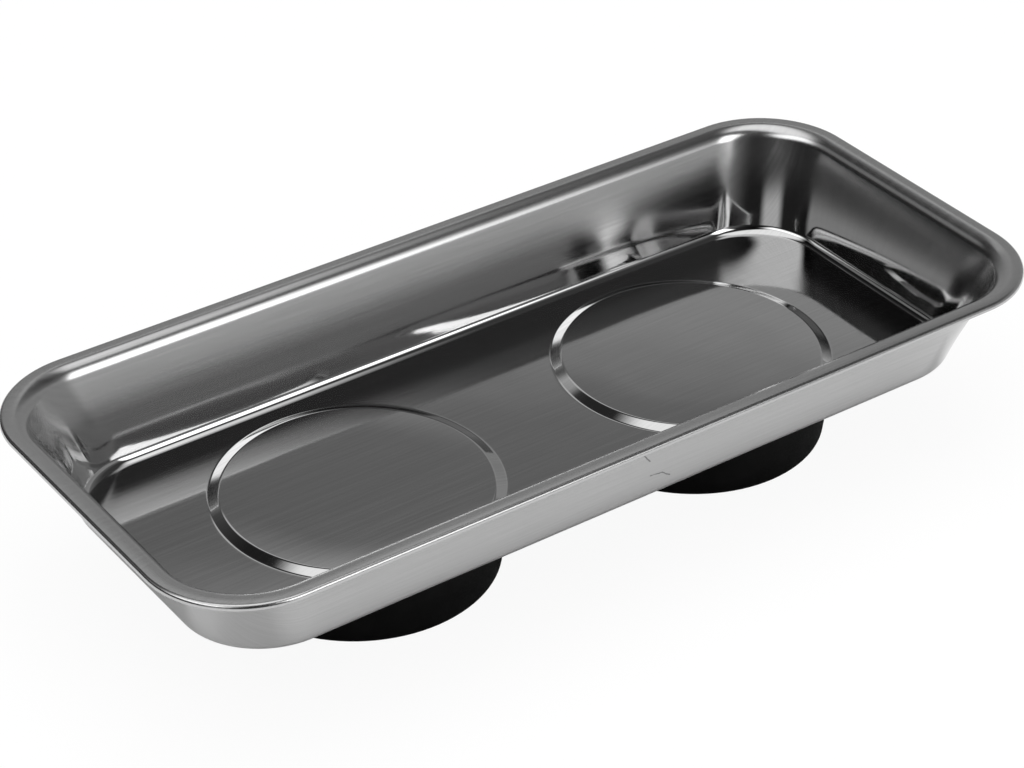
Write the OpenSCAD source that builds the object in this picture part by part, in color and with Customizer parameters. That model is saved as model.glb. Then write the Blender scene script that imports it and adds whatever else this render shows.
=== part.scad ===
// Magnetic parts tray: a pressed steel tray that stands on two ring magnets in rubber boots.
// X runs along the tray, Y across it and Z up. The origin is on the surface that the boots
// stand on, below the middle of the tray. Lengths are in millimetres, angles in degrees.

/* [Tray] */
// Length over the rim
tray_l = 240; // [215:1:320]
// Width over the rim
tray_w = 109; // [106:1:160]
// Depth from the top of the rim down to the floor
well_depth = 24.8; // [18:0.2:32]
// Thickness of the steel sheet
sheet_t = 0.7; // [0.5:0.1:1]
// Slope of the walls away from upright, measured from their top to their bottom
wall_draft = 18.5; // [12:0.5:24]
// How much further the walls lean out at their top than at their bottom
wall_curl = 8; // [1:0.5:10]
// Corner radius of the outer edge of the rim
rim_corner_r = 24.5; // [22:0.5:30]
// Corner radius of the walls, the same from the rim roll down to the floor
wall_corner_r = 19.5; // [15:0.5:22]
// Width of the level strip of floor that is pressed with the bend of the walls
floor_land_w = 0.5; // [0.3:0.1:1]
// Radius of the bend between walls and floor, on the inside
floor_bend_r = 2.4; // [2:0.1:6]

/* [Rim] */
// Width of the level part of the rim, from the outer edge to the roll
rim_flat_w = 2.4; // [2:0.1:6]
// Radius of the roll from the rim into the walls
rim_roll_r = 4.5; // [2:0.1:6]
// Height of the lip that is turned down along the outer edge
lip_h = 1.4; // [1.4:0.1:5]
// Radius on the inside of the lip's bend
lip_bend_r = 0.2; // [0.1:0.1:0.8]

/* [Magnet seats] */
// Distance between the centres of the two seats
seat_pitch = 97.5; // [80:0.5:125]
// Height that each seat is pressed up above the floor
seat_rise = 0.9; // [0.5:0.1:1.2]
// Slope of the ring around a seat
seat_slope = 19; // [12:1:24]
// Radius of the rounding at the top and at the foot of that slope
seat_round_r = 2; // [0.5:0.1:2.5]
// Width of the level ring around the slope that is pressed with it
seat_land_w = 0.5; // [0.3:0.1:1]

/* [Magnets] */
// Outer diameter of the ring magnet
magnet_d = 60; // [40:1:64]
// Thickness of the ring magnet
magnet_t = 14; // [10:1:20]
// Thickness of the steel pole plate above the magnet
plate_t = 1.5; // [1:0.1:3]

/* [Rubber boots] */
// Thickness of the rubber below the magnet
boot_floor_t = 3.6; // [2:0.1:5]
// Thickness of the rubber around the magnet, at the foot of the boot
boot_wall_t = 3.2; // [1.5:0.1:4]
// How much further the boot reaches out at its top than at its foot
boot_flare = 2; // [1:0.1:3]
// Width of the boot's top rim, which lies under the slope around the seat
boot_rim_w = 3.7; // [2:0.1:5]
// Rounding of the boot's lower edge
boot_edge_r = 1.2; // [0.5:0.1:2]
// Rounding of the mouth of the pocket under the boot
pocket_edge_r = 0.5; // [0.2:0.1:1]
// Wall of the hub that centres the magnet
hub_wall_t = 2.3; // [1.5:0.1:4]
// Thickness of the hub's top, which the fastener clamps
hub_top_t = 2.5; // [1.5:0.1:4]

/* [Fasteners] */
// Diameter of the weld stud
stud_d = 5; // [4:0.5:6]
// Length of the weld stud below the seat
stud_l = 13; // [12:0.5:15]
// Diameter of the weld stud's flange
stud_flange_d = 7; // [6.5:0.5:9]
// Thickness of the weld stud's flange
stud_flange_t = 1; // [0.6:0.1:1]
// Outer diameter of the flat washer
washer_d = 15; // [12:0.5:18]
// Thickness of the flat washer
washer_t = 1.2; // [0.8:0.1:2]
// Outer diameter of the spring washer
spring_d = 9.2; // [8.4:0.1:11]
// Thickness of the spring washer
spring_t = 1.2; // [0.8:0.1:1.6]
// Width of the split in the spring washer
spring_split_w = 0.8; // [0.4:0.1:1.5]
// Width of the nut across its flats
nut_af = 8; // [7:0.5:10]
// Height of the nut
nut_h = 4.7; // [3:0.1:5]
// Depth of the bevel at the nut's corners
nut_bevel_h = 0.6; // [0.3:0.1:1]

/* [Clearances] */
// Gap between the magnet and the rubber around it
boot_gap = 0.2; // [0.1:0.05:0.5]
// Gap between the pole plate's edge and the side of the recess under the seat
plate_gap = 0.5; // [0.3:0.1:1]
// Gap between the stud and the holes that it passes
hole_gap = 0.2; // [0.1:0.05:0.5]
// Gap between the stud's crest and the nut
thread_gap = 0.05; // [0.03:0.01:0.2]
// Gap between the flat washer and the pocket in the boot
pocket_gap = 1; // [0.5:0.1:2]

/* [Hidden] */

$fn = 96;
// Steps of the curves in the pressed sheet
corner_steps = 12;
bend_steps = 5;
wall_steps = 4;
roll_steps = 7;
lip_steps = 3;
slope_steps = 3;
edge_steps = 4;
// How far a cut runs past the surface that it opens
overrun = 1;

// Heights of the stack in a foot, from the standing surface up
magnet_z = boot_floor_t;
plate_z = magnet_z + magnet_t;
seat_under_z = plate_z + plate_t;
floor_under_z = seat_under_z - seat_rise;
floor_z = floor_under_z + sheet_t;
rim_z = floor_z + well_depth;

// Heights of the fasteners in the boot's pocket
washer_z = plate_z - hub_top_t - washer_t;
spring_z = washer_z - spring_t;
nut_z = spring_z - nut_h;

// Radii of a foot, each from the piece that it fits
pocket_r = washer_d / 2 + pocket_gap;
hub_r = pocket_r + hub_wall_t;
magnet_hole_r = hub_r + boot_gap;
cavity_r = magnet_d / 2 + boot_gap;
boot_foot_r = cavity_r + boot_wall_t;
boot_top_r = boot_foot_r + boot_flare;
seat_r = boot_top_r - boot_rim_w;
seat_slope_w = seat_rise / tan(seat_slope) + 2 * seat_round_r * tan(seat_slope / 2);
seat_edge_r = seat_r + seat_slope_w + seat_land_w;
seat_hole_r = seat_edge_r - seat_land_w / 2;
plate_r = seat_r - plate_gap;
plate_pocket_r = plate_r + boot_gap;
plate_hole_r = stud_flange_d / 2 + hole_gap;
stud_hole_r = stud_d / 2 + hole_gap;

// Lean of the boot's side, and the centre of the rounding at its foot
boot_lean = atan2(boot_flare, floor_under_z - boot_edge_r);
boot_edge_centre = [boot_foot_r - boot_edge_r, boot_edge_r];

// The sheet's section: how far in from the rim's outer edge, and how far below the rim's top
draft_top = wall_draft + wall_curl / 2;
draft_low = wall_draft - wall_curl / 2;
roll_end_in = rim_flat_w + rim_roll_r * cos(draft_top);
roll_end_h = rim_roll_r * (1 - sin(draft_top));
bend_start_h = well_depth - floor_bend_r * (1 - sin(draft_low));
wall_h = bend_start_h - roll_end_h;
bend_start_in = roll_end_in + wall_h * tan(wall_draft);
floor_start_in = bend_start_in + floor_bend_r * cos(draft_low);
floor_panel_in = floor_start_in + floor_land_w / 2;

// Centres of the section's arcs: the wall is one too, which bulges into the well
lip_centre = [lip_bend_r + sheet_t, -lip_bend_r - sheet_t];
roll_centre = [rim_flat_w, -rim_roll_r];
bend_centre = [floor_start_in, floor_bend_r - well_depth];
wall_r = wall_h / cos(wall_draft) / 2 / sin(wall_curl / 2);
wall_centre = [bend_start_in - wall_r * cos(draft_low), -bend_start_h - wall_r * sin(draft_low)];

left = -1;
right = 1;

// Points of an arc about a centre
function arc(centre, radius, from, to, steps) = [
    for (i = [0 : steps])
        let (a = from + (to - from) * i / steps)
            centre + radius * [cos(a), sin(a)]
];

// A list without its first and its last point
function inner_points(list) = [for (i = [1 : len(list) - 2]) list[i]];

// One side of the sheet as points of inset and height, from the floor up to the lip's edge.
// depth is how far the side lies below the upper face.
function sheet_side(depth) = concat(
    [[floor_start_in + floor_land_w, -well_depth - depth]],
    arc(bend_centre, floor_bend_r + depth, 270, 180 + draft_low, bend_steps),
    inner_points(arc(wall_centre, wall_r - depth, draft_low, draft_top, wall_steps)),
    arc(roll_centre, rim_roll_r - depth, draft_top, 90, roll_steps),
    arc(lip_centre, lip_bend_r + sheet_t - depth, 90, 180, lip_steps),
    [[depth, -lip_h]]
);

// Corner radius of the upper face: it narrows across the rim and then stays that of the walls
function corner_r(inset) =
    rim_corner_r + (wall_corner_r - rim_corner_r) * min(1, inset / roll_end_in);

// A level ring of points around the tray, with round corners
function corner_ring(inset, z, r) = [
    for (quarter = [0 : 3], step = [0 : corner_steps])
        let (
            a = 90 * (quarter + step / corner_steps),
            side_x = quarter == 0 || quarter == 3 ? 1 : -1,
            side_y = quarter < 2 ? 1 : -1
        )
            [
                side_x * (tray_l / 2 - inset - r) + r * cos(a),
                side_y * (tray_w / 2 - inset - r) + r * sin(a),
                z
            ]
];

// Outline of a seat's round face, from its centre down the slope to the floor around it
function seat_profile(z) = concat(
    [[0, z + seat_rise]],
    arc([seat_r, z + seat_rise - seat_round_r], seat_round_r, 90, 90 - seat_slope, slope_steps),
    arc([seat_r + seat_slope_w, z + seat_round_r], seat_round_r, 270 - seat_slope, 270, slope_steps),
    [[seat_edge_r, z]]
);

// Rim, walls and the bend into the floor: the sheet's section carried around the rounded outline
module rim_and_walls() {
    upper = sheet_side(0);
    under = sheet_side(sheet_t);
    last = len(upper) - 1;
    rings = concat(
        [for (i = [0 : last]) corner_ring(upper[i][0], rim_z + upper[i][1], corner_r(upper[i][0]))],
        [
            for (i = [last : -1 : 0])
                let (r = corner_r(upper[i][0]) + upper[i][0] - under[i][0])
                    corner_ring(under[i][0], rim_z + under[i][1], r)
        ]
    );
    points = [for (ring = rings) each ring];
    count = len(rings[0]);
    faces = [
        for (i = [0 : len(rings) - 1], j = [0 : count - 1])
            let (
                a = i * count + j,
                b = i * count + (j + 1) % count,
                c = (a + count) % len(points),
                d = (b + count) % len(points)
            )
                each [[a, b, d], [a, d, c]]
    ];
    polyhedron(points, faces);
}

// The level floor, open where the seats are pressed. It laps half of the level strip inside the
// bend and half of the level ring around each seat.
module floor_panel() {
    translate([0, 0, floor_under_z])
        linear_extrude(sheet_t)
            difference() {
                polygon([for (p = corner_ring(floor_panel_in, 0, wall_corner_r)) [p[0], p[1]]]);
                for (side = [left, right]) translate([side * seat_pitch / 2, 0]) circle(seat_hole_r);
            }
}

// A round seat for a magnet, pressed up out of the floor
module pressed_seat() {
    under = seat_profile(floor_under_z);
    rotate_extrude()
        polygon(concat(
            seat_profile(floor_z),
            [for (i = [len(under) - 1 : -1 : 0]) under[i]]
        ));
}

// Places a piece at the left or the right foot
module at_foot(side) {
    translate([side * seat_pitch / 2, 0, 0]) children();
}

// A flat ring standing on a height
module ring(outer_r, inner_r, z, h) {
    translate([0, 0, z])
        difference() {
            cylinder(r = outer_r, h = h);
            translate([0, 0, -overrun]) cylinder(r = inner_r, h = h + 2 * overrun);
        }
}

module tray() {
    color("silver") {
        rim_and_walls();
        floor_panel();
        for (side = [left, right]) at_foot(side) pressed_seat();
    }
}

// Welded to the middle of the seat's underside
module weld_stud() {
    color("darkgray") {
        translate([0, 0, seat_under_z - stud_flange_t]) cylinder(d = stud_flange_d, h = stud_flange_t);
        translate([0, 0, seat_under_z - stud_l]) cylinder(d = stud_d, h = stud_l);
    }
}

module pole_plate() {
    color("lightslategray") ring(plate_r, plate_hole_r, plate_z, plate_t);
}

module ring_magnet() {
    color("dimgray") ring(magnet_d / 2, magnet_hole_r, magnet_z, magnet_t);
}

// A cup around the magnet, with a hub in the magnet's hole and a pocket for the fasteners below
module rubber_boot() {
    color("black")
        rotate_extrude()
            polygon(concat(
                arc([pocket_r + pocket_edge_r, pocket_edge_r], pocket_edge_r, 180, 270, edge_steps),
                arc(boot_edge_centre, boot_edge_r, 270, 360 - boot_lean, edge_steps),
                [
                    [boot_top_r, floor_under_z],
                    [plate_pocket_r, floor_under_z],
                    [plate_pocket_r, plate_z],
                    [cavity_r, plate_z],
                    [cavity_r, magnet_z],
                    [hub_r, magnet_z],
                    [hub_r, plate_z],
                    [stud_hole_r, plate_z],
                    [stud_hole_r, plate_z - hub_top_t],
                    [pocket_r, plate_z - hub_top_t]
                ]
            ));
}

module flat_washer() {
    color("gainsboro") ring(washer_d / 2, stud_hole_r, washer_z, washer_t);
}

// A flattened split ring, cut at a slant
module spring_washer() {
    color("slategray")
        difference() {
            ring(spring_d / 2, stud_hole_r, spring_z, spring_t);
            translate([spring_d / 2, 0, spring_z + spring_t / 2])
                rotate([30, 0, 0])
                    cube([spring_d, spring_split_w, 4 * spring_t], center = true);
        }
}

module hex_nut() {
    nut_corner_r = nut_af / 2 / cos(30);
    color("lightgray")
        translate([0, 0, nut_z])
            difference() {
                intersection() {
                    cylinder(r = nut_corner_r, h = nut_h, $fn = 6);
                    rotate_extrude()
                        polygon([
                            [0, 0],
                            [nut_af / 2, 0],
                            [nut_corner_r, nut_bevel_h],
                            [nut_corner_r, nut_h - nut_bevel_h],
                            [nut_af / 2, nut_h],
                            [0, nut_h]
                        ]);
                }
                translate([0, 0, -overrun])
                    cylinder(d = stud_d + 2 * thread_gap, h = nut_h + 2 * overrun);
            }
}

tray();
at_foot(left) weld_stud();  // left_weld_stud
at_foot(right) weld_stud();  // right_weld_stud
at_foot(left) pole_plate();  // left_pole_plate
at_foot(right) pole_plate();  // right_pole_plate
at_foot(left) ring_magnet();  // left_ring_magnet
at_foot(right) ring_magnet();  // right_ring_magnet
at_foot(left) rubber_boot();  // left_rubber_boot
at_foot(right) rubber_boot();  // right_rubber_boot
at_foot(left) flat_washer();  // left_flat_washer
at_foot(right) flat_washer();  // right_flat_washer
at_foot(left) spring_washer();  // left_spring_washer
at_foot(right) spring_washer();  // right_spring_washer
at_foot(left) hex_nut();  // left_hex_nut
at_foot(right) hex_nut();  // right_hex_nut
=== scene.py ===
# %% [markdown]
# # A magnetic parts tray
# A pressed stainless tray stands on two ring magnets in black rubber boots. The solids of all
# its pieces come ready made, at their real size and place. This notebook gives them the looks:
# a finer surface where a mirror finish would show facets, a finish for every material, a floor,
# a studio and a camera. The first step loads the solids and keeps their box.

# %% Load the solids
import math

import bmesh
import bpy
import numpy as np
from mathutils import Matrix, Vector


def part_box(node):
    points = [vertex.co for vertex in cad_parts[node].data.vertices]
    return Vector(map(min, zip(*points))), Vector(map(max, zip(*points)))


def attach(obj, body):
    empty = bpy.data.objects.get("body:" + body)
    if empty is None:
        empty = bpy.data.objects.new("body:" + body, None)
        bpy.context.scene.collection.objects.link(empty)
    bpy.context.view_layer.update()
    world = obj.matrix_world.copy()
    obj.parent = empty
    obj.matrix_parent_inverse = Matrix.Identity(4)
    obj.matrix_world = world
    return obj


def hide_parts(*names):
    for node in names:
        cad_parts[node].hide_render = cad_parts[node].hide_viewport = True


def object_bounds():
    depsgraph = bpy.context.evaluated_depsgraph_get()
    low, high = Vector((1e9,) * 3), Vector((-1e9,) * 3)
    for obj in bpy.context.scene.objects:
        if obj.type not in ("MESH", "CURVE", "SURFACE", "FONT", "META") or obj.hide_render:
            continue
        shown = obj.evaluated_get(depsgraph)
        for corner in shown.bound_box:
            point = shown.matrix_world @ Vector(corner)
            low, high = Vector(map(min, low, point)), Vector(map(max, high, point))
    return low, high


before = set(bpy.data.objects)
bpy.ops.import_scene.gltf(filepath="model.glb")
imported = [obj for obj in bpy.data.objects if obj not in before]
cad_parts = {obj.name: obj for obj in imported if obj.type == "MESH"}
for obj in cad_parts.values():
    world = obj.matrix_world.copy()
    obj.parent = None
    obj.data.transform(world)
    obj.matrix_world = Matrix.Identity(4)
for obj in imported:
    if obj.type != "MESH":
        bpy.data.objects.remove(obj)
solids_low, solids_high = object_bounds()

MM = 0.001
scene = bpy.context.scene
print("solids:", len(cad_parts))
print("box in mm:", [round(size / MM, 1) for size in solids_high - solids_low])

# %% [markdown]
# ## The camera
# The picture was taken from the front left, looking down by about a third of a right angle. A
# camera can be placed by eye, but a fit is surer: the rim's outline, the rings in the floor and
# the feet were fitted to one perspective view, which gave the angles, the distance and the focal
# length below. The focal length is in pixels of a picture 1024 wide, and the lens follows from it.

# %% Place the camera
PICTURE_W = 1024
SENSOR_W = 36
CAMERA_TURN = math.radians(-35.019)
CAMERA_RISE = math.radians(33.733)
CAMERA_ROLL = math.radians(-0.324)
CAMERA_DISTANCE = 712.3 * MM
CAMERA_FOCAL_PX = 3043.5
AIM_RIGHT = -4.14 * MM
AIM_UP = -12.12 * MM
NEAREST_SEEN = 10 * MM

back = Vector((
    math.sin(CAMERA_TURN) * math.cos(CAMERA_RISE),
    -math.cos(CAMERA_TURN) * math.cos(CAMERA_RISE),
    math.sin(CAMERA_RISE),
))
level_right = Vector((math.cos(CAMERA_TURN), math.sin(CAMERA_TURN), 0))
level_up = back.cross(level_right)
aim = Vector((0, 0, solids_high.z)) + AIM_RIGHT * level_right + AIM_UP * level_up
camera_right = math.cos(CAMERA_ROLL) * level_right + math.sin(CAMERA_ROLL) * level_up
camera_up = back.cross(camera_right)

camera = bpy.data.objects.new("camera", bpy.data.cameras.new("camera"))
camera.data.sensor_width = SENSOR_W
camera.data.lens = CAMERA_FOCAL_PX * SENSOR_W / PICTURE_W
camera.data.clip_start = NEAREST_SEEN
turn = Matrix((camera_right, camera_up, back)).transposed().to_4x4()
camera.matrix_world = Matrix.Translation(aim + CAMERA_DISTANCE * back) @ turn
scene.collection.objects.link(camera)
scene.camera = camera
print("camera lens in mm:", round(camera.data.lens, 1))

# %% [markdown]
# ## Sizes of the pressed sheet
# The tray's length, width and heights are read from the solid's box. What a box can't tell, such
# as bend radii and the slope of the walls, is named here once, at the same values as the solid.

# %% Name the sheet's sizes
SHEET = 0.7 * MM
RIM_CORNER = 24.5 * MM
WALL_CORNER = 19.5 * MM
RIM_FLAT = 2.4 * MM
RIM_ROLL = 4.5 * MM
LIP_DROP = 1.4 * MM
LIP_BEND = 0.2 * MM
FLOOR_BEND = 2.4 * MM
WALL_DRAFT = math.radians(18.5)
WALL_CURL = math.radians(8)
SEAT_RISE = 0.9 * MM
SEAT_SLOPE = math.radians(19)
SEAT_ROUND = 2 * MM
SEAT_LAND = 0.5 * MM
BOOT_RIM = 3.7 * MM

_, tray_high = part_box("tray")
boot_low, boot_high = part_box("right_rubber_boot")
half_length = tray_high.x
half_width = tray_high.y
rim_z = tray_high.z
floor_z = boot_high.z + SHEET
well_depth = rim_z - floor_z
seat_x = (boot_low.x + boot_high.x) / 2
seat_r = (boot_high.x - boot_low.x) / 2 - BOOT_RIM
seat_slope_w = SEAT_RISE / math.tan(SEAT_SLOPE) + 2 * SEAT_ROUND * math.tan(SEAT_SLOPE / 2)
seat_edge_r = seat_r + seat_slope_w + SEAT_LAND
print("well depth in mm:", round(well_depth / MM, 2), "seat radius in mm:", round(seat_r / MM, 2))

# %% [markdown]
# ## The section of the sheet
# Seen in section, the sheet runs from the floor through a hollow bend, up a sloping wall, over a
# roll, along a narrow level rim and down a short lip, round its cut edge and back underneath.
# Each bend is an arc, and so is the wall: a sheet that is drawn over a die curls a little, so its
# wall leans out more at the top than at the bottom. The underside uses the same centres as the
# upper face, with the sheet's thickness added to a hollow radius or taken from a bulging one, so
# the sheet keeps its thickness.

# %% Work out the section
BEND_STEPS = 14
WALL_STEPS = 8
ROLL_STEPS = 18
LIP_STEPS = 6
EDGE_STEPS = 6

draft_top = WALL_DRAFT + WALL_CURL / 2
draft_low = WALL_DRAFT - WALL_CURL / 2
roll_end_in = RIM_FLAT + RIM_ROLL * math.cos(draft_top)
roll_end_drop = RIM_ROLL * (1 - math.sin(draft_top))
bend_start_drop = well_depth - FLOOR_BEND * (1 - math.sin(draft_low))
wall_drop = bend_start_drop - roll_end_drop
bend_start_in = roll_end_in + wall_drop * math.tan(WALL_DRAFT)
wall_r = wall_drop / math.cos(WALL_DRAFT) / 2 / math.sin(WALL_CURL / 2)
wall_centre = (
    bend_start_in - wall_r * math.cos(draft_low),
    -bend_start_drop - wall_r * math.sin(draft_low),
)
floor_edge_in = bend_start_in + FLOOR_BEND * math.cos(draft_low)


def arc(centre, radius, start, end, steps):
    """Points of an arc: the centre plus the radius times cosine and sine of a turning angle."""
    angle = np.linspace(start, end, steps + 1)
    return np.array(centre) + radius * np.stack([np.cos(angle), np.sin(angle)], axis=1)


def sheet_face(depth):
    """One face of the sheet from floor to lip, as inset from the rim's edge and height from its top.

    Floor bend, wall, roll, rim and lip in turn. depth is how far the face lies under the upper one.
    """
    lip = LIP_BEND + SHEET
    floor_bend = arc((floor_edge_in, FLOOR_BEND - well_depth), FLOOR_BEND + depth,
                     -math.pi / 2, draft_low - math.pi, BEND_STEPS)
    wall = arc(wall_centre, wall_r - depth, draft_low, draft_top, WALL_STEPS)[1:-1]
    roll = arc((RIM_FLAT, -RIM_ROLL), RIM_ROLL - depth, draft_top, math.pi / 2, ROLL_STEPS)
    lip_bend = arc((lip, -lip), lip - depth, math.pi / 2, math.pi, LIP_STEPS)
    lip_end = [[depth, SHEET / 2 - LIP_DROP]]
    return np.concatenate([floor_bend, wall, roll, lip_bend, lip_end])


def corner_radius(inset):
    """Corner radius of the upper face: falls evenly over rim and roll, then stays as it is."""
    return RIM_CORNER + (WALL_CORNER - RIM_CORNER) * np.minimum(1, inset / roll_end_in)


upper = sheet_face(0)
under = sheet_face(SHEET)
cut_edge = arc((SHEET / 2, SHEET / 2 - LIP_DROP), SHEET / 2, math.pi, 2 * math.pi, EDGE_STEPS)[1:-1]
upper_radius = corner_radius(upper[:, 0])
under_radius = upper_radius + upper[:, 0] - under[:, 0]
upper_run = np.concatenate([[0], np.cumsum(np.linalg.norm(np.diff(upper, axis=0), axis=1))])

section = np.concatenate([upper, cut_edge, under[::-1]])
section_radius = np.concatenate([upper_radius, RIM_CORNER - cut_edge[:, 0], under_radius[::-1]])
section_run = np.concatenate([upper_run, np.full(len(cut_edge), upper_run[-1]), upper_run[::-1]])
print("points in the section:", len(section))
print("sheet from floor to lip in mm:", round(upper_run[-1] / MM, 1))

# %% [markdown]
# ## The outline of the tray
# Every level of the tray is a rectangle with round corners. Any point of such an outline is a
# place in the box of the four corner centres plus the corner radius along an outward direction.
# The outline is therefore four rows of numbers, the place's shares in x and y and the direction,
# and one formula serves every level, whatever its inset and radius.

# %% Work out the outline
SIDE_STEPS = 56
CORNER_STEPS = 28
END_STEPS = 26


def half_outline():
    """The outline's half at +x, from the middle of the near side round to the middle of the far side.

    Each column holds the shares of the corner box in x and y, then the outward direction's x and y.
    """
    side = np.linspace(0, 1, SIDE_STEPS + 1)[:-1]
    end = np.linspace(-1, 1, END_STEPS + 1)[1:-1]
    turn = np.linspace(0, math.pi / 2, CORNER_STEPS + 1)
    one, zero = np.ones_like, np.zeros_like
    near_side = np.stack([side, -one(side), zero(side), -one(side)])
    near_corner = np.stack([one(turn), -one(turn), np.sin(turn), -np.cos(turn)])
    end_wall = np.stack([one(end), end, one(end), zero(end)])
    far_corner = np.stack([one(turn), one(turn), np.cos(turn), np.sin(turn)])
    far_side = np.stack([side[::-1], one(side), zero(side), one(side)])
    return np.concatenate([near_side, near_corner, end_wall, far_corner, far_side], axis=1)


def level(outline, inset, radius, height):
    """Levels of the tray: corner box share times the box's half size, plus radius times direction."""
    share_x, share_y, out_x, out_y = outline
    x = share_x * (half_length - inset - radius) + radius * out_x
    y = share_y * (half_width - inset - radius) + radius * out_y
    return np.stack([x, y, height + np.zeros_like(x)], axis=-1)


right_half = half_outline()
left_half = right_half[:, ::-1][:, 1:-1] * np.array([[-1], [1], [-1], [1]])
whole_outline = np.concatenate([right_half, left_half], axis=1)
print("columns around the tray:", whole_outline.shape[1])

# %% [markdown]
# ## Rim, walls and floor as one surface
# The section carried around the outline gives rim and walls: a grid whose rows are points of the
# section and whose columns are places on the outline. The floor is two more grids, one around
# each magnet seat. Their rows start at the seat's centre, pass the rounded step and end on the
# outline or on the middle line, so every ring of a seat is truly round. Beside its place each
# point keeps its place on the flat sheet before pressing, because the brushed grain was put on
# then: on the end walls it runs up and down, and along the long walls it runs level.

# %% Build the tray's surface
SEAT_STEPS = 3
SLOPE_STEPS = 8
FLOOR_STEPS = 5
MIDDLE_STEPS = 50
WELD = 0.001 * MM


def grid_faces(rows, columns):
    """Four corners of every cell of a grid whose last column joins the first."""
    row = np.arange(rows - 1)[:, None]
    column = np.arange(columns)[None, :]
    beside = (column + 1) % columns
    corners = (row * columns + column, row * columns + beside, (row + 1) * columns + beside,
               (row + 1) * columns + column)
    return np.stack(corners, axis=-1).reshape(-1, 4)


def seat_section():
    """A seat as radius and height over the floor: level, brow, slope, hollow foot."""
    level_r = np.linspace(0, seat_r, SEAT_STEPS + 1)[:-1]
    top = np.stack([level_r, np.full_like(level_r, SEAT_RISE)], axis=1)
    brow_centre = (seat_r, SEAT_RISE - SEAT_ROUND)
    brow = arc(brow_centre, SEAT_ROUND, math.pi / 2, math.pi / 2 - SEAT_SLOPE, SLOPE_STEPS)
    foot_centre = (seat_r + seat_slope_w, SEAT_ROUND)
    foot = arc(foot_centre, SEAT_ROUND, 1.5 * math.pi - SEAT_SLOPE, 1.5 * math.pi, SLOPE_STEPS)
    return np.concatenate([top, brow, foot, [[seat_edge_r, 0]]])


def wall_grid():
    """Rim and walls: every point of the section carried around the outline.

    With the places go the places on the flat sheet, and how far up the sheet each point lies, from
    0 at the floor to 1 at the lip.
    """
    inset, height = section[:, 0, None], section[:, 1, None]
    place = level(whole_outline, inset, section_radius[:, None], rim_z + height)
    foot = level(whole_outline, np.full((1, 1), floor_edge_in), WALL_CORNER, floor_z)[..., :2]
    blank = foot + section_run[:, None, None] * whole_outline[2:].T
    drawn = np.broadcast_to(section_run[:, None] / section_run.max(), place.shape[:2])
    return place, blank, drawn


def floor_grid():
    """The floor around the seat at +x: rings about its centre, then even shares to the edge."""
    edge = level(right_half, floor_edge_in, WALL_CORNER, 0.0)[:, :2]
    middle_y = np.linspace(edge[-1, 1], edge[0, 1], MIDDLE_STEPS + 1)[1:-1]
    edge = np.concatenate([edge, np.stack([0 * middle_y, middle_y], axis=1)])
    centre = np.array([seat_x, 0])
    away = (edge - centre) / np.linalg.norm(edge - centre, axis=1, keepdims=True)
    seat = seat_section()
    rings = centre + seat[:, 0, None, None] * away
    share = np.linspace(0, 1, FLOOR_STEPS + 1)[1:, None, None]
    outside = rings[-1] + share * (edge - rings[-1])
    plan = np.concatenate([rings, outside])
    height = np.concatenate([seat[:, 1], np.zeros(FLOOR_STEPS)])
    height = np.broadcast_to(floor_z + height[:, None, None], plan.shape[:2] + (1,))
    return np.concatenate([plan, height], axis=2)


def joined_surface(name, parts):
    """One mesh from (places, flat places, drawn shares, faces), welded where parts meet.

    The flat places become its UV map, and the drawn shares stay with its points.
    """
    starts = np.cumsum([0] + [len(part[0]) for part in parts])
    mesh = bpy.data.meshes.new(name)
    places, blanks, shares = [np.concatenate([part[column] for part in parts]) for column in range(3)]
    faces = np.concatenate([part[3] + start for part, start in zip(parts, starts)])
    mesh.from_pydata(places.tolist(), [], faces.tolist())
    flat = mesh.attributes.new("blank", "FLOAT2", "POINT")
    flat.data.foreach_set("vector", blanks.astype(np.float32).ravel())
    drawn = mesh.attributes.new("drawn", "FLOAT", "POINT")
    drawn.data.foreach_set("value", shares.astype(np.float32))
    welder = bmesh.new()
    welder.from_mesh(mesh)
    bmesh.ops.remove_doubles(welder, verts=welder.verts, dist=WELD)
    welder.to_mesh(mesh)
    welder.free()
    corner_point = np.zeros(len(mesh.loops), np.int32)
    mesh.loops.foreach_get("vertex_index", corner_point)
    flat_place = np.zeros(2 * len(mesh.vertices), np.float32)
    mesh.attributes["blank"].data.foreach_get("vector", flat_place)
    corner_flat = flat_place.reshape(-1, 2)[corner_point]
    mesh.uv_layers.new(name="flat_sheet").data.foreach_set("uv", corner_flat.ravel())
    mesh.polygons.foreach_set("use_smooth", np.ones(len(mesh.polygons), bool))
    mesh.update()
    return mesh


walls, walls_blank, walls_drawn = wall_grid()
wall_faces = grid_faces(*walls.shape[:2])
parts = [(walls.reshape(-1, 3), walls_blank.reshape(-1, 2), walls_drawn.ravel(), wall_faces)]
floor = floor_grid()
floor_faces = grid_faces(*floor.shape[:2])
for side in (1, -1):
    for depth in (0, SHEET):
        place = floor.reshape(-1, 3) * (side, 1, 1) - (0, 0, depth)
        facing_up = (side == 1) == (depth == 0)
        level_faces = floor_faces if facing_up else floor_faces[:, ::-1]
        parts.append((place, place[:, :2], np.zeros(len(place)), level_faces))

tray = bpy.data.objects.new("brushed_tray", joined_surface("brushed_tray", parts))
scene.collection.objects.link(tray)
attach(tray, "root")
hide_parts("tray")
print("tray:", len(tray.data.vertices), "points,", len(tray.data.polygons), "faces")

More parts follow.
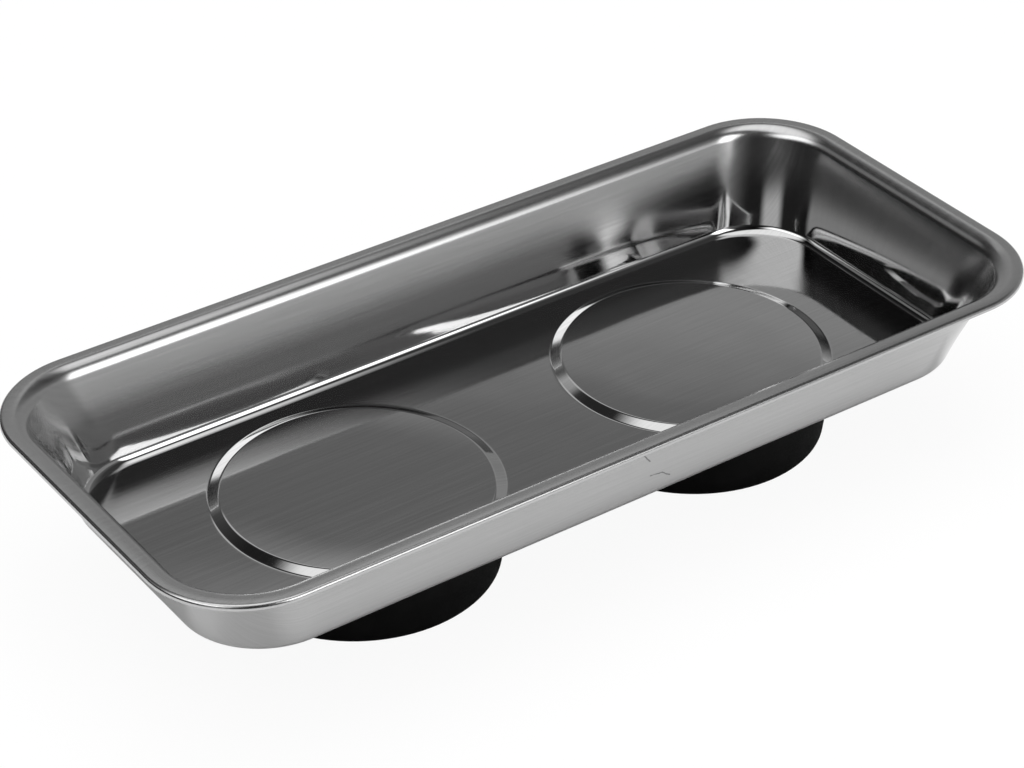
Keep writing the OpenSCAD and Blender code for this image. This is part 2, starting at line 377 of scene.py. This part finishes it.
# %% [markdown]
# ## Brushed stainless steel
# The sheet was brushed along its length before it was pressed, so the grain follows the flat
# sheet: level on the long walls, up and down on the end walls. A photograph of brushed metal
# could be wrapped on, but a noise stretched along the sheet's own map is sharp at any distance.
# Fine streaks tilt the surface a little, broad ones change its roughness, and a slow waviness
# bends the reflections, as on any thin pressed sheet. Where the press has drawn the sheet, towards
# the rim, it is duller than on the floor. The reflection itself is stretched across the grain by
# the shader's anisotropy.

# %% Make the brushed steel
FINE_STREAKS = (60, 4200, 1)
MIDDLE_STREAKS = (45, 1700, 1)
BROAD_STREAKS = (14, 700, 1)
STREAK_DETAIL = 2
BROAD_DETAIL = 3
STREAK_TILT = 0.001 * MM
WAVES = (45, 45, 1)
WAVE_DETAIL = 1
WAVE_TILT = 0.03 * MM
ANISOTROPY = 0.4
ANISOTROPY_TURN = 0.25
NOISE_ENDS = (0.3, 0.7)
STEEL_GREYS = (0.50, 0.545)
FLOOR_ROUGH = (0.03, 0.07)
DRAWN_ROUGH = 0.17
DRAWN_ENDS = (0.20, 0.62)


def new_finish(name, constants):
    """A material and its tree: one principled shader with the constants set on its own sockets."""
    material = bpy.data.materials.new(name)
    material.use_nodes = True
    shader = material.node_tree.nodes["Principled BSDF"]
    for socket, value in constants.items():
        shader.inputs[socket].default_value = value
    return material, material.node_tree, shader


def add_node(tree, kind, inputs, **settings):
    """A node of a kind: settings are its switches, inputs are numbers or the output of another node."""
    node = tree.nodes.new(kind)
    for name, value in settings.items():
        setattr(node, name, value)
    for name, value in inputs.items():
        if isinstance(value, bpy.types.NodeSocket):
            tree.links.new(value, node.inputs[name])
        else:
            node.inputs[name].default_value = value
    return node


def noise(tree, place, scale, detail):
    """The grey value of a noise on a place that is first stretched by a scale along each axis."""
    stretched = add_node(tree, "ShaderNodeMapping", {"Vector": place, "Scale": scale}).outputs["Vector"]
    settings = {"Vector": stretched, "Scale": 1, "Detail": detail}
    return add_node(tree, "ShaderNodeTexNoise", settings).outputs["Fac"]


def spread(tree, value, low, high):
    """A noise value, which stays mostly between two ends, spread evenly from low to high."""
    start, end = NOISE_ENDS
    inputs = {"Value": value, "From Min": start, "From Max": end, "To Min": low, "To Max": high}
    return add_node(tree, "ShaderNodeMapRange", inputs).outputs["Result"]


def fade(tree, value, ends, low, high):
    """A value's smooth passage from low at the first end to high at the second."""
    inputs = {"Value": value, "From Min": ends[0], "From Max": ends[1], "To Min": low, "To Max": high}
    passage = add_node(tree, "ShaderNodeMapRange", inputs, interpolation_type="SMOOTHSTEP")
    return passage.outputs["Result"]


def calculate(tree, operation, *values, **settings):
    """The result of a sum, product or other operation on values."""
    inputs = dict(enumerate(values))
    return add_node(tree, "ShaderNodeMath", inputs, operation=operation, **settings).outputs["Value"]


def combine(tree, operation, result, *vectors):
    """The result of an operation on vectors, which is called Vector or Value."""
    inputs = dict(enumerate(vectors))
    return add_node(tree, "ShaderNodeVectorMath", inputs, operation=operation).outputs[result]


def bump(tree, value, height, under=None):
    """A surface tilted by the slope of a value times a height, on top of another bump."""
    inputs = {"Height": value, "Distance": height, "Strength": 1}
    if under is not None:
        inputs["Normal"] = under
    return add_node(tree, "ShaderNodeBump", inputs).outputs["Normal"]


steel, tree, shader = new_finish("brushed_steel", {
    "Metallic": 1, "Anisotropic": ANISOTROPY, "Anisotropic Rotation": ANISOTROPY_TURN,
})
sheet_place = add_node(tree, "ShaderNodeUVMap", {}, uv_map="flat_sheet").outputs["UV"]
fine_streaks = noise(tree, sheet_place, FINE_STREAKS, STREAK_DETAIL)
broad_streaks = noise(tree, sheet_place, BROAD_STREAKS, BROAD_DETAIL)
waves = noise(tree, sheet_place, WAVES, WAVE_DETAIL)
grain = bump(tree, fine_streaks, STREAK_TILT, bump(tree, waves, WAVE_TILT))
along_sheet = add_node(tree, "ShaderNodeTangent", {}, direction_type="UV_MAP", uv_map="flat_sheet")
drawn = add_node(tree, "ShaderNodeAttribute", {}, attribute_name="drawn").outputs["Fac"]
rougher = fade(tree, drawn, DRAWN_ENDS, 0, DRAWN_ROUGH)
rough = calculate(tree, "ADD", spread(tree, broad_streaks, *FLOOR_ROUGH), rougher)
tree.links.new(rough, shader.inputs["Roughness"])
middle_streaks = noise(tree, sheet_place, MIDDLE_STREAKS, STREAK_DETAIL)
grey = spread(tree, middle_streaks, *STEEL_GREYS)
tree.links.new(grey, shader.inputs["Base Color"])
tree.links.new(grain, shader.inputs["Normal"])
tree.links.new(along_sheet.outputs["Tangent"], shader.inputs["Tangent"])
tray.data.materials.append(steel)
print("finish of the tray:", steel.name)

# %% [markdown]
# ## Dust and scratches
# A tray that has been handled carries some dust and a scratch or two, and without them the steel
# looks unreal. Dust could be modelled grain by grain, but it is too small to show a shape: here a
# cell pattern picks a few round specks, which are lighter and duller than the steel. A scratch is
# the set of places near a line on the flat sheet, so its place can be chosen: the photograph
# shows two on the near wall.

# %% Add dust and scratches
DUST_CELLS = 62
DUST_SHARE = 0.62
DUST_R = (0.09 * MM, 0.24 * MM)
DUST_GREY = 0.95
DUST_ROUGH = 0.65
# Start and end of each stretch of a scratch, in mm on the flat sheet.
SCRATCHES = (
    ((-1.5, -58.3), (1.4, -53.9)),
    ((3.0, -48.0), (6.3, -47.3)),
    ((6.3, -47.3), (9.0, -45.1)),
)
SCRATCH_W = (0.06 * MM, 0.26 * MM)
SCRATCH_WOBBLE = (0.6 * MM, 0.6 * MM, 0)
WOBBLE_SCALE = 900
SCRATCH_GREY = 0.2


def near_line(tree, place, start, end):
    """How far a place lies from a line: its way from the start, less the part of it along the line."""
    start = Vector((*start, 0)) * MM
    run = Vector((*end, 0)) * MM - start
    way = combine(tree, "SUBTRACT", "Vector", place, start)
    part = combine(tree, "DOT_PRODUCT", "Value", way, run / run.length_squared)
    part = add_node(tree, "ShaderNodeClamp", {"Value": part}).outputs["Result"]
    along = add_node(tree, "ShaderNodeVectorMath", {0: run, "Scale": part}, operation="SCALE")
    return combine(tree, "DISTANCE", "Value", way, along.outputs["Vector"])


def blend(tree, share, value, other):
    """A value that gives way to another by a share."""
    inputs = {"Value": share, "To Min": value, "To Max": other}
    return add_node(tree, "ShaderNodeMapRange", inputs).outputs["Result"]


cells = add_node(tree, "ShaderNodeTexVoronoi", {"Vector": sheet_place, "Scale": DUST_CELLS})
chosen = calculate(tree, "GREATER_THAN", cells.outputs["Color"], DUST_SHARE)
speck_ends = [radius * DUST_CELLS for radius in DUST_R]
speck = fade(tree, cells.outputs["Distance"], speck_ends, 1, 0)
dust = calculate(tree, "MULTIPLY", chosen, speck)
wobble = add_node(tree, "ShaderNodeTexNoise", {"Vector": sheet_place, "Scale": WOBBLE_SCALE})
wavy_place = combine(tree, "MULTIPLY_ADD", "Vector", wobble.outputs["Color"], SCRATCH_WOBBLE, sheet_place)
scratched = grey
for start, end in SCRATCHES:
    scratch = fade(tree, near_line(tree, wavy_place, start, end), SCRATCH_W, 1, 0)
    scratched = blend(tree, scratch, scratched, SCRATCH_GREY)
tree.links.new(blend(tree, dust, scratched, DUST_GREY), shader.inputs["Base Color"])
tree.links.new(blend(tree, dust, rough, DUST_ROUGH), shader.inputs["Roughness"])
print("nodes of the steel:", len(tree.nodes))

# %% [markdown]
# ## Rubber boots
# Each magnet sits in a black moulded boot, a cup with a hub and a pocket for the nut. A cup is
# round, so its section is drawn once and turned about the seat's centre, as on a lathe. The
# solid has the same section. The foot's edge and the pocket's mouth are rounded, as a mould
# leaves them, with steps fine enough to stay round in a close view.

# %% Turn the boots
BOOT_EDGE = 1.2 * MM
MOUTH_EDGE = 0.5 * MM
BOOT_WALL = 3.2 * MM
BOOT_GAP = 0.2 * MM
HUB_TOP = 2.5 * MM
STUD_R = 2.5 * MM
STUD_HOLE = 0.2 * MM
POCKET_GAP = 1 * MM
HUB_WALL = 2.3 * MM
TURN_STEPS = 96
ROUND_STEPS = 8
SHARP = math.radians(32)

plate_low, plate_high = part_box("right_pole_plate")
magnet_low, magnet_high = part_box("right_ring_magnet")
stud_low, stud_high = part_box("right_weld_stud")
washer_low, washer_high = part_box("right_flat_washer")
boot_top_r = (boot_high.x - boot_low.x) / 2
boot_top_z = boot_high.z
magnet_r = (magnet_high.x - magnet_low.x) / 2
plate_r = (plate_high.x - plate_low.x) / 2


def boot_section(foot_r, pocket_r, hub_r, bore_r):
    """The boot's closed section as radius and height: foot, side, top, cavity, hub, bore, pocket."""
    lean = math.atan2(boot_top_r - foot_r, boot_top_z - BOOT_EDGE)
    mouth = arc((pocket_r + MOUTH_EDGE, MOUTH_EDGE), MOUTH_EDGE, math.pi, 1.5 * math.pi, ROUND_STEPS)
    edge = arc((foot_r - BOOT_EDGE, BOOT_EDGE), BOOT_EDGE, -math.pi / 2, -lean, ROUND_STEPS)
    cavity_r = magnet_r + BOOT_GAP
    inside = [
        [boot_top_r, boot_top_z], [plate_r + BOOT_GAP, boot_top_z], [plate_r + BOOT_GAP, plate_low.z],
        [cavity_r, plate_low.z], [cavity_r, magnet_low.z], [hub_r, magnet_low.z], [hub_r, plate_low.z],
        [bore_r, plate_low.z], [bore_r, plate_low.z - HUB_TOP], [pocket_r, plate_low.z - HUB_TOP],
    ]
    return np.concatenate([mouth, edge, inside])


def turned(section, centre_x, radius_at=None):
    """A section turned about an upright axis: x and y are radius times cosine and sine of the turn."""
    turn = np.linspace(0, 2 * math.pi, TURN_STEPS, endpoint=False)
    radius = section[:, 0, None] + np.zeros_like(turn)
    height = section[:, 1, None] + np.zeros_like(turn)
    if radius_at is not None:
        radius = radius_at(radius, height, turn)
    return np.stack([centre_x + radius * np.cos(turn), radius * np.sin(turn), height], axis=-1)


def closed_piece(name, grid, ring):
    """An object from a grid that closes around the axis, and along the section too if it is a ring."""
    rows, columns = grid.shape[:2]
    faces = grid_faces(rows + ring, columns) % (rows * columns)
    mesh = bpy.data.meshes.new(name)
    mesh.from_pydata(grid.reshape(-1, 3).tolist(), [], faces.tolist())
    welder = bmesh.new()
    welder.from_mesh(mesh)
    bmesh.ops.remove_doubles(welder, verts=welder.verts, dist=WELD)
    bmesh.ops.recalc_face_normals(welder, faces=welder.faces)
    welder.to_mesh(mesh)
    welder.free()
    mesh.polygons.foreach_set("use_smooth", np.ones(len(mesh.polygons), bool))
    mesh.set_sharp_from_angle(angle=SHARP)
    piece = bpy.data.objects.new(name, mesh)
    scene.collection.objects.link(piece)
    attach(piece, "root")
    return piece


pocket_r = (washer_high.x - washer_low.x) / 2 + POCKET_GAP
foot_r = magnet_r + BOOT_GAP + BOOT_WALL
section_of_boot = boot_section(foot_r, pocket_r, pocket_r + HUB_WALL, STUD_R + STUD_HOLE)
boots = []
for side_name, side in (("left", -1), ("right", 1)):
    boot = closed_piece(side_name + "_moulded_boot", turned(section_of_boot, side * seat_x), True)
    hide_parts(side_name + "_rubber_boot")
    boots.append(boot)
print("boots:", len(boots), "of", len(boots[0].data.polygons), "faces")

# %% [markdown]
# ## Threaded studs
# The stud that holds each boot is welded under the seat, so only its end shows, in the pocket
# beside the nut. A thread is one formula: the radius falls and rises once for each pitch, and
# the wave climbs by one pitch in one turn. The end is tapered, so that a nut starts easily.

# %% Cut the threads
PITCH = 0.8 * MM
THREAD_DEPTH = 0.43 * MM
STUD_FLANGE = 3.5 * MM
STUD_FLANGE_T = 1 * MM
ROWS_PER_PITCH = 8


def thread_radius(radius, height, turn):
    """The radius less a triangle wave of height over pitch and turn, and less a taper at the end."""
    wave = np.abs(2 * ((height / PITCH - turn / (2 * math.pi)) % 1) - 1)
    shank = (radius > 0) & (height < stud_high.z - STUD_FLANGE_T)
    taper = np.clip(THREAD_DEPTH - (height - stud_low.z), 0, None)
    return radius - shank * np.maximum(THREAD_DEPTH * wave, taper)


def stud_section():
    """Radius and height up the stud: the end's centre, close rows along the shank, then the flange."""
    shank_top = stud_high.z - STUD_FLANGE_T
    rows = int(ROWS_PER_PITCH * (shank_top - stud_low.z) / PITCH)
    shank = np.linspace(stud_low.z, shank_top, rows + 1)
    shank = np.stack([np.full_like(shank, STUD_R), shank], axis=1)
    flange = [[STUD_FLANGE, shank_top], [STUD_FLANGE, stud_high.z], [0, stud_high.z]]
    return np.concatenate([[[0, stud_low.z]], shank, flange])


studs = []
for side_name, side in (("left", -1), ("right", 1)):
    threaded = turned(stud_section(), side * seat_x, thread_radius)
    stud = closed_piece(side_name + "_threaded_stud", threaded, False)
    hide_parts(side_name + "_weld_stud")
    studs.append(stud)
print("studs:", len(studs), "of", len(studs[0].data.polygons), "faces")

# %% [markdown]
# ## Finishes of the feet
# Rubber from a mould is not one flat black: its skin is finely grained, and it is a little shinier
# where the mould was polished. Zinc plate is cloudy, ferrite is grainy, and spring steel is dark
# with oil. Pictures of these could be wrapped on, but all of them follow one recipe with other
# numbers: a noise on the piece's own coordinates mixes two colours, and a finer one changes the
# roughness and tilts the surface.

# %% Make the finishes of the feet
CLOUD_DETAIL = 4
GRAIN_DETAIL = 2


def grained(name, colours, rough, cloud, grain, tilt, constants):
    """A finish whose colour follows a coarse noise, and whose roughness and tilt follow a fine one."""
    material, tree, shader = new_finish(name, constants)
    place = add_node(tree, "ShaderNodeTexCoord", {}).outputs["Object"]
    clouds = spread(tree, noise(tree, place, (cloud, cloud, cloud), CLOUD_DETAIL), 0, 1)
    grains = noise(tree, place, (grain, grain, grain), GRAIN_DETAIL)
    dark, pale = [(*colour, 1) for colour in colours]
    mixed = add_node(tree, "ShaderNodeMix", {"Factor": clouds, 6: dark, 7: pale}, data_type="RGBA")
    tree.links.new(mixed.outputs[2], shader.inputs["Base Color"])
    tree.links.new(spread(tree, grains, *rough), shader.inputs["Roughness"])
    tree.links.new(bump(tree, grains, tilt), shader.inputs["Normal"])
    return material


metal = {"Metallic": 1}
rubber = grained(
    "moulded_rubber", colours=((0.002, 0.002, 0.002), (0.006, 0.006, 0.006)), rough=(0.42, 0.6),
    cloud=90, grain=2600, tilt=0.02 * MM, constants={"Specular IOR Level": 0.05},
)
zinc = grained(
    "zinc_plate", colours=((0.52, 0.54, 0.56), (0.68, 0.69, 0.69)), rough=(0.22, 0.4),
    cloud=260, grain=4000, tilt=0.002 * MM, constants=metal,
)
spring = grained(
    "oiled_spring_steel", colours=((0.16, 0.16, 0.17), (0.30, 0.30, 0.32)), rough=(0.3, 0.5),
    cloud=400, grain=5000, tilt=0.003 * MM, constants=metal,
)
ferrite = grained(
    "ground_ferrite", colours=((0.05, 0.05, 0.055), (0.09, 0.09, 0.095)), rough=(0.5, 0.75),
    cloud=500, grain=6000, tilt=0.01 * MM, constants={},
)
rolled = grained(
    "rolled_steel", colours=((0.36, 0.37, 0.38), (0.5, 0.51, 0.52)), rough=(0.25, 0.45),
    cloud=120, grain=3000, tilt=0.003 * MM, constants=metal,
)
stainless = grained(
    "turned_stainless", colours=((0.44, 0.44, 0.44), (0.58, 0.58, 0.57)), rough=(0.2, 0.35),
    cloud=300, grain=6000, tilt=0.002 * MM, constants=metal,
)
for piece in boots:
    piece.data.materials.append(rubber)
for piece in studs:
    piece.data.materials.append(stainless)
for side_name in ("left", "right"):
    for node, finish in (("flat_washer", zinc), ("hex_nut", zinc), ("spring_washer", spring),
                         ("ring_magnet", ferrite), ("pole_plate", rolled)):
        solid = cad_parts[side_name + "_" + node]
        for slot in solid.material_slots:
            slot.material = finish
print("finishes:", sorted(m.name for m in (rubber, zinc, spring, ferrite, rolled, stainless)))

# %% [markdown]
# ## The floor
# The background is a sheet of white paper that fills the picture. A brighter lamp could make it
# white, but it would bleach the tray too. Instead the paper is lifted by a share of plain white
# for the camera and for what the metal mirrors, and the part that isn't lifted keeps the shadow.
# Under the tray the lift for mirrored rays fades out: a painted shade, standing for paper that no light
# reaches there.
# The paper lies a hair below the feet, so that the two faces don't share one plane.

# %% Lay the floor
FLOOR_HALF = 12.0
FLOOR_GAP = 0.02 * MM
CAMERA_LIFT = 0.93
MIRROR_LIFT = 0.88
WALL_FOOT = 16 * MM
PAINTED_SHADE_EDGES = (6 * MM, 18 * MM)
PAPER_COLOUR = (0.9, 0.9, 0.9, 1)
PAPER_ROUGH = 0.9
WHITE = (1, 1, 1, 1)

floor_mesh = bpy.data.meshes.new("studio_floor")
corners = np.array([[-1, -1, 0], [1, -1, 0], [1, 1, 0], [-1, 1, 0]]) * FLOOR_HALF - [0, 0, FLOOR_GAP]
floor_mesh.from_pydata(corners.tolist(), [], [[0, 1, 2, 3]])
studio_floor = bpy.data.objects.new("studio_floor", floor_mesh)
scene.collection.objects.link(studio_floor)

paper, tree, shader = new_finish("white_paper", {"Base Color": PAPER_COLOUR, "Roughness": PAPER_ROUGH})
ray = add_node(tree, "ShaderNodeLightPath", {}).outputs
mirrored = calculate(tree, "ADD", ray["Is Glossy Ray"], ray["Is Transmission Ray"], use_clamp=True)
paper_place = add_node(tree, "ShaderNodeTexCoord", {}).outputs["Object"]
from_middle = combine(tree, "ABSOLUTE", "Vector", paper_place)
tray_foot = (half_length - WALL_FOOT, half_width - WALL_FOOT, 0)
outside = combine(tree, "SUBTRACT", "Vector", from_middle, tray_foot)
sides = add_node(tree, "ShaderNodeSeparateXYZ", {"Vector": outside}).outputs
outside = calculate(tree, "MAXIMUM", sides["X"], sides["Y"])
# Painted shade: near and under the tray's foot the white lift for mirrored rays fades to nothing, so the
# metal mirrors darker paper there.
mirror_lift_painted_shade = fade(tree, outside, PAINTED_SHADE_EDGES, 0, MIRROR_LIFT)
mirrored = calculate(tree, "MULTIPLY", mirrored, mirror_lift_painted_shade)
lift = calculate(tree, "MULTIPLY_ADD", ray["Is Camera Ray"], CAMERA_LIFT, mirrored, use_clamp=True)
white = add_node(tree, "ShaderNodeEmission", {"Color": WHITE, "Strength": 1})
layers = {0: lift, 1: shader.outputs[0], 2: white.outputs[0]}
mixed = add_node(tree, "ShaderNodeMixShader", layers)
tree.links.new(mixed.outputs[0], tree.nodes["Material Output"].inputs["Surface"])
floor_mesh.materials.append(paper)
print("finish of the floor:", paper.name)

# %% [markdown]
# ## The room
# Polished metal looks like what stands around it, so the room matters more than the steel. Lamps
# on stands would do, but a room drawn on the world's sphere needs no placing of stands. Its grey
# changes with height and falls towards the left, and on it lie seven soft-edged panels. Each was
# found by following the sight line to a patch of the tray, mirroring it there, and noting where it
# leaves. A wide fill lamp overhead, which the metal doesn't mirror, lights the rubber and the paper.

# %% Set the room
# How far up the direction points, from 0 level to 1 overhead, and the room's grey there.
ROOM = (
    (0.0, 0.37), (0.36, 0.32), (0.48, 0.37), (0.535, 0.38), (0.565, 0.205), (0.62, 0.17), (0.68, 0.13),
    (0.77, 0.06), (1.0, 0.06),
)
SIDE_AZIMUTH = 90
SIDE_ENDS = (-0.4, 0.5)
SIDE_LEVELS = (0.06, 1)
LEAST_AHEAD = 0.001
# Azimuth and elevation in degrees; half width, half height and soft edge at distance one; brightness.
PANELS = {
    "ceiling": (0, 83, 0.47, 0.355, 0.16, 1.4),
    "tall front right": (158.5, 36.5, 0.195, 0.31, 0.10, 2.8),
    "high left": (-92, 50, 0.42, 0.20, 0.32, 2.4),
    "low front left": (-123, 10, 0.22, 0.16, 0.2, 0.62),
    "narrow back right": (26, 42.5, 0.26, 0.07, 0.08, 0.61),
    "dim back left": (-42, 35, 0.16, 0.14, 0.15, 0.23),
    "low front right": (158, 4, 0.25, 0.10, 0.12, 0.24),
}
FILL_SIZE = 2.4
FILL_HEIGHT = 2.0
FILL_LIGHT = 1.8

world = bpy.data.worlds.new("studio_room")
scene.world = world
world.use_nodes = True
room = world.node_tree
direction = add_node(room, "ShaderNodeTexCoord", {}).outputs["Generated"]


def towards(azimuth, elevation):
    """The direction to a place: azimuth 0 is the back and 90 the right, elevation 90 is overhead."""
    turned_by = math.radians(azimuth)
    raised_by = math.radians(elevation)
    level_part = math.cos(raised_by)
    right_part = math.sin(turned_by) * level_part
    back_part = math.cos(turned_by) * level_part
    return Vector((right_part, back_part, math.sin(raised_by)))


def share_along(axis):
    """How much of the direction that is looked along lies along an axis."""
    return combine(room, "DOT_PRODUCT", "Value", direction, axis)


def softbox(azimuth, elevation, half_width, half_height, edge, brightness):
    """A soft-edged rectangle of light, its half sizes and edge given at a distance of one.

    The shares of the direction across and up the panel, over its share ahead, tell where it is met.
    """
    ahead_axis = towards(azimuth, elevation)
    across_axis = Vector((ahead_axis.y, -ahead_axis.x, 0)).normalized()
    ahead = calculate(room, "MAXIMUM", share_along(ahead_axis), LEAST_AHEAD)
    light = brightness
    for axis, half_size in ((across_axis, half_width), (ahead_axis.cross(across_axis), half_height)):
        off_centre = calculate(room, "ABSOLUTE", calculate(room, "DIVIDE", share_along(axis), ahead))
        edge_ends = (half_size - edge / 2, half_size + edge / 2)
        light = calculate(room, "MULTIPLY", fade(room, off_centre, edge_ends, 1, 0), light)
    return light


upward = add_node(room, "ShaderNodeSeparateXYZ", {"Vector": direction}).outputs["Z"]
ramp = add_node(room, "ShaderNodeValToRGB", {"Fac": upward})
for stop, (place, level_grey) in enumerate(ROOM):
    element = ramp.color_ramp.elements[stop] if stop < 2 else ramp.color_ramp.elements.new(place)
    element.position = place
    element.color = (level_grey, level_grey, level_grey, 1)
side_share = fade(room, share_along(towards(SIDE_AZIMUTH, 0)), SIDE_ENDS, *SIDE_LEVELS)
studio = calculate(room, "MULTIPLY", ramp.outputs["Color"], side_share)
for panel in PANELS.values():
    studio = calculate(room, "ADD", studio, softbox(*panel))
background = room.nodes["Background"]
background.inputs["Color"].default_value = WHITE
room.links.new(studio, background.inputs["Strength"])

fill = bpy.data.lights.new("fill_light", "AREA")
fill.size = FILL_SIZE
fill.energy = FILL_LIGHT * math.pi * FILL_SIZE ** 2
fill_lamp = bpy.data.objects.new("fill_light", fill)
fill_lamp.location = (0, 0, FILL_HEIGHT)
fill_lamp.visible_glossy = False
scene.collection.objects.link(fill_lamp)
print("panels of the room:", ", ".join(PANELS))

# %% [markdown]
# ## The end
# The picture is shown without any film curve, so a grey of the scene is the same grey in the picture.

# %% Finish
scene.view_settings.view_transform = "Standard"
